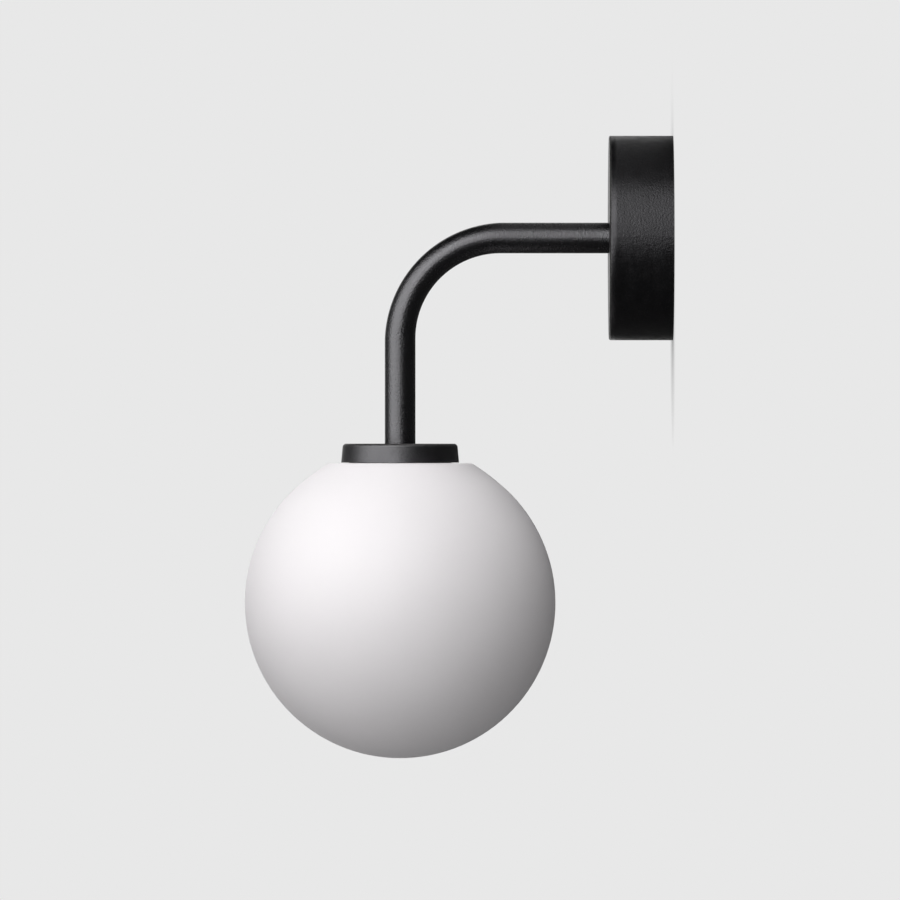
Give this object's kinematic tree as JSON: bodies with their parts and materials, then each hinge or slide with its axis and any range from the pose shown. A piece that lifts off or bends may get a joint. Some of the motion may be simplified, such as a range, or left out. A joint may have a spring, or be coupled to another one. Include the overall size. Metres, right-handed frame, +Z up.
{
  "type": "globe wall sconce",
  "caption": "Wall light with a round canopy, a tube arm bent down through a right angle, a shallow cap and a screw-on opal glass globe.",
  "frame": {"origin": "middle of the canopy's back, on the wall plane, which is also the middle of the two wall screw slots", "axes": "+Y into the wall, +Z up, +X to the right seen from the room; the light stands out towards -Y"},
  "size_m": [0.152, 0.2095, 0.3044],
  "materials": {
    "satin_black": "satin black powder coat, fine grained",
    "zinc_steel": "bright zinc plate",
    "brass": "plain turned",
    "tinned_copper": "tinned",
    "plated_screw": "zinc plate",
    "nickel": "nickel plate",
    "nylon": "moulded nylon",
    "black_nylon": "moulded nylon",
    "brown_sleeve": "wire insulation",
    "blue_sleeve": "wire insulation",
    "earth_sleeve": "green and yellow wire insulation",
    "aluminium": "turned",
    "silicone": "white silicone",
    "opal_glass": "satin opal, acid etched outside",
    "steatite": "unglazed steatite",
    "lamp_plastic": "white moulded",
    "frosted_plastic": "frosted",
    "circuit_board": "white board with yellow chips"
  },
  "bodies": {
    "root": {"canopy": "satin_black", "arm_tube": "satin_black", "globe_cap": "satin_black", "wall_bracket": "zinc_steel", "wall_nut": "zinc_steel", "wall_lock_washer": "zinc_steel", "wall_end_bush": "zinc_steel", "drop_end_bush": "zinc_steel", "lamp_nut": "zinc_steel", "lamp_lock_washer": "zinc_steel", "holder_bracket": "zinc_steel", "holder_screws": "zinc_steel", "canopy_screws": "zinc_steel", "earth_screw": "zinc_steel", "earth_washer": "zinc_steel", "block_screw": "zinc_steel", "wall_nipple": "brass", "lamp_nipple": "brass", "terminal_tubes": "brass", "holder_contacts": "brass", "earth_tag": "tinned_copper", "terminal_screws": "plated_screw", "terminal_block": "nylon", "wire_bush": "black_nylon", "live_wire": "brown_sleeve", "neutral_wire": "blue_sleeve", "earth_wire": "earth_sleeve", "thread_ring": "aluminium", "lampholder": "steatite"},
    "gasket": {"neck_gasket": "silicone"},
    "globe": {"glass_globe": "opal_glass"},
    "lamp": {"lamp_base": "lamp_plastic", "lamp_capsule": "frosted_plastic", "lamp_board": "circuit_board", "lamp_pins": "nickel"}
  },
  "joints": [
    {"name": "globe_drop", "type": "slide", "parent": "root", "child": "gasket", "axis": [0, 0, -1], "range_m": [0, 0.00438]},
    {"name": "globe_turn", "type": "hinge", "parent": "gasket", "child": "globe", "pos_m": [0, -0.1335, -0.11], "axis": [0, 0, -1], "range_deg": [0, 430]},
    {"name": "lamp_pull", "type": "slide", "parent": "root", "child": "lamp", "axis": [0, 0, -1], "range_m": [0, 0.012]}
  ],
  "couplings": [
    {"joint": "globe_drop", "follows": "globe_turn", "m_per_rad": 0.00055704}
  ]
}
